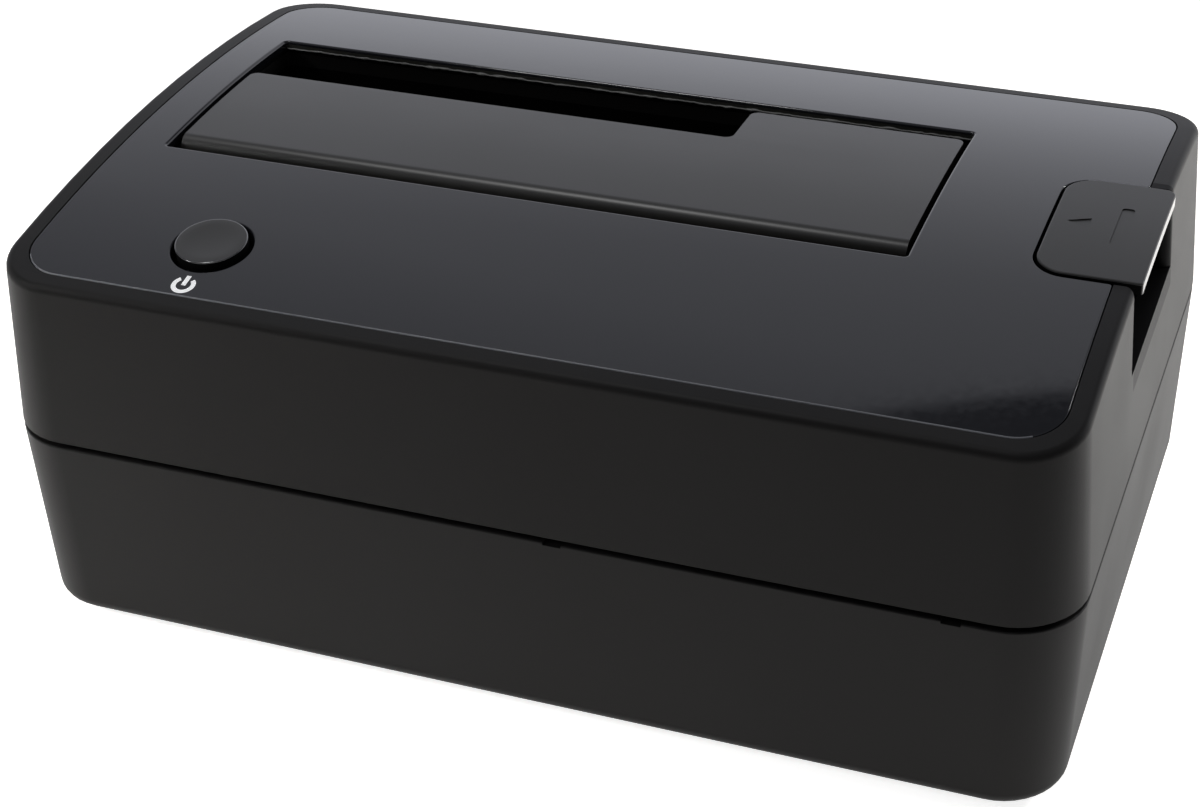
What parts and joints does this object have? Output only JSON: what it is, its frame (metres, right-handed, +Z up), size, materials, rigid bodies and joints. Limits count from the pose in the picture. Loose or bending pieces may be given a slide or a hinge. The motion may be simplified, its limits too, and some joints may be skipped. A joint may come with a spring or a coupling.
{
  "type": "hard drive docking station",
  "caption": "Low rectangular desktop dock with an arched gloss top, a drive slot under a sprung flap, a round power button and a broad eject tab.",
  "frame": {"origin": "on the table under the middle of the case", "axes": "+X to the right along the case, +Y to the back with its ports, +Z up"},
  "size_m": [0.144, 0.093, 0.0574],
  "materials": {
    "case_plastic": "fine matte",
    "gloss_panel": "polished",
    "flap_plastic": "satin",
    "button_plastic": "satin",
    "bay_plastic": "matte",
    "steel": "bright",
    "white_plastic": "satin",
    "board_green": "solder mask",
    "black_plastic": "moulded",
    "gold_contact": "plated",
    "port_metal": "tinned",
    "led_clear": "clear",
    "can_aluminium": "sleeved can",
    "lead_grey": "flat lead",
    "ferrite": "matt",
    "foot_rubber": "matt",
    "screw_steel": "black zinc"
  },
  "bodies": {
    "housing": {"upper_case": "case_plastic", "lower_case": "case_plastic", "top_panel": "gloss_panel", "bay_frame": "bay_plastic", "flap_hinge_pin": "steel", "flap_springs": "steel", "eject_spring": "steel", "ejector_pivot_pin": "steel", "power_switch": "black_plastic", "switch_board": "board_green", "status_led": "led_clear", "switch_cable": "lead_grey", "cable_headers": "white_plastic", "main_board": "board_green", "sata_connector": "black_plastic", "sata_contacts": "gold_contact", "usb_port_shell": "port_metal", "usb_port_core": "white_plastic", "dc_jack": "black_plastic", "dc_jack_pin": "port_metal", "bridge_chip": "black_plastic", "capacitors": "can_aluminium", "inductor": "ferrite", "crystal": "port_metal", "case_screws": "screw_steel", "bay_screws": "screw_steel", "board_screws": "screw_steel", "switch_screws": "screw_steel", "rubber_feet": "foot_rubber"},
    "flap": {"flap": "flap_plastic"},
    "eject_tab": {"eject_button": "button_plastic", "eject_clip": "steel"},
    "ejector": {"ejector_arm": "white_plastic"},
    "power_key": {"power_button": "button_plastic", "switch_plunger": "white_plastic"}
  },
  "joints": [
    {"name": "flap_hinge", "type": "hinge", "parent": "housing", "child": "flap", "pos_m": [0, -0.00785, 0.05148], "axis": [-1, 0, 0], "range_deg": [0, 90], "stiffness_Nm_per_rad": 0.006, "springref_deg": -45.84, "deforming": ["flap_springs"]},
    {"name": "eject_press", "type": "slide", "parent": "housing", "child": "eject_tab", "axis": [0, 0, -1], "range_m": [0, 0.006], "stiffness_N_per_m": 500, "springref_m": -0.004, "deforming": ["eject_spring"]},
    {"name": "ejector_tilt", "type": "hinge", "parent": "housing", "child": "ejector", "pos_m": [0.034, 0, 0.008], "axis": [0, 1, 0], "range_deg": [0, 12.58]},
    {"name": "power_press", "type": "slide", "parent": "housing", "child": "power_key", "axis": [0, 0.1288, -0.9917], "range_m": [0, 0.0015], "stiffness_N_per_m": 900, "springref_m": -0.001}
  ],
  "couplings": [
    {"joint": "ejector_tilt", "follows": "eject_press", "rad_per_m": 36.53}
  ]
}
